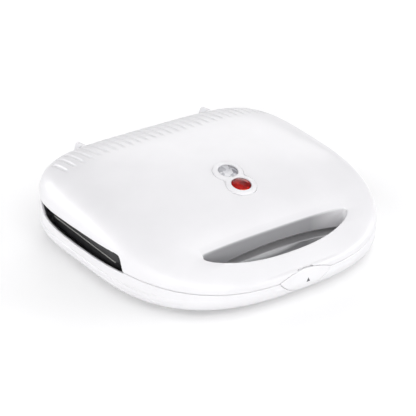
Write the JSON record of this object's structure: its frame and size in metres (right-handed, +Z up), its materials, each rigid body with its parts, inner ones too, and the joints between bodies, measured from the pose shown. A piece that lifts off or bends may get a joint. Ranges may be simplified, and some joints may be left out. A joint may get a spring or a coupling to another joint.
{
  "type": "sandwich toaster",
  "caption": "Hinged clamshell sandwich toaster with ribbed white lid, finger opening, push latch, twin indicator lights and black cut-and-seal plates",
  "frame": {"origin": "middle of the footprint, on the worktop under the feet", "axes": "-Y is the front with the handle and latch, +Z is up, X runs across the lid"},
  "size_m": [0.242, 0.2365, 0.071],
  "materials": {
    "white_plastic": "glossy white moulded plastic",
    "plate_coating": "cast aluminium with a black non-stick coating",
    "tube_steel": "heat-tinted steel tube",
    "ceramic": "glazed ceramic bead",
    "moulding": "heat-proof moulding",
    "spring_steel": "spring steel strip",
    "shield_aluminium": "bright aluminium sheet",
    "zinc_steel": "zinc-plated steel",
    "switch_body": "dark moulded switch body",
    "screw_brass": "plain brass",
    "foot_rubber": "pale grey rubber",
    "wire_sleeve": "woven glass sleeve",
    "red_lens": "clear red plastic jewel",
    "clear_lens": "clear plastic jewel",
    "lamp_glass": "small glow lamp"
  },
  "bodies": {
    "base": {"base_shell": "white_plastic", "lower_plate": "plate_coating", "lower_heating_element": "tube_steel", "lower_element_insulators": "ceramic", "lower_element_clips": "spring_steel", "lower_heat_shield": "shield_aluminium", "lower_plate_screws": "zinc_steel", "thermostat": "switch_body", "thermal_fuse": "shield_aluminium", "terminal_block": "moulding", "terminal_block_screws": "screw_brass", "lead_gland": "white_plastic", "feet": "foot_rubber", "hinge_pins": "zinc_steel", "base_wires": "wire_sleeve"},
    "lid": {"lid_shell": "white_plastic", "upper_plate": "plate_coating", "upper_heating_element": "tube_steel", "upper_element_insulators": "ceramic", "upper_element_clips": "spring_steel", "upper_heat_shield": "shield_aluminium", "upper_plate_screws": "zinc_steel", "light_bezel": "white_plastic", "power_lens": "red_lens", "ready_lens": "clear_lens", "neon_lamps": "lamp_glass", "lamp_holder": "moulding", "lamp_holder_screws": "zinc_steel", "handle_cover": "white_plastic", "handle_cover_screws": "zinc_steel", "hinge_arms": "white_plastic", "hinge_arm_screws": "zinc_steel", "lid_wires": "wire_sleeve"},
    "latch": {"latch_button": "white_plastic", "latch_hook": "white_plastic"}
  },
  "joints": [
    {"name": "lid_hinge", "type": "hinge", "parent": "base", "child": "lid", "pos_m": [0, 0.1149, 0.0175], "axis": [-1, 0, 0], "range_deg": [0, 105]},
    {"name": "latch_press", "type": "slide", "parent": "lid", "child": "latch", "axis": [0, 1, 0], "range_m": [0, 0.0016], "stiffness_N_per_m": 900}
  ]
}
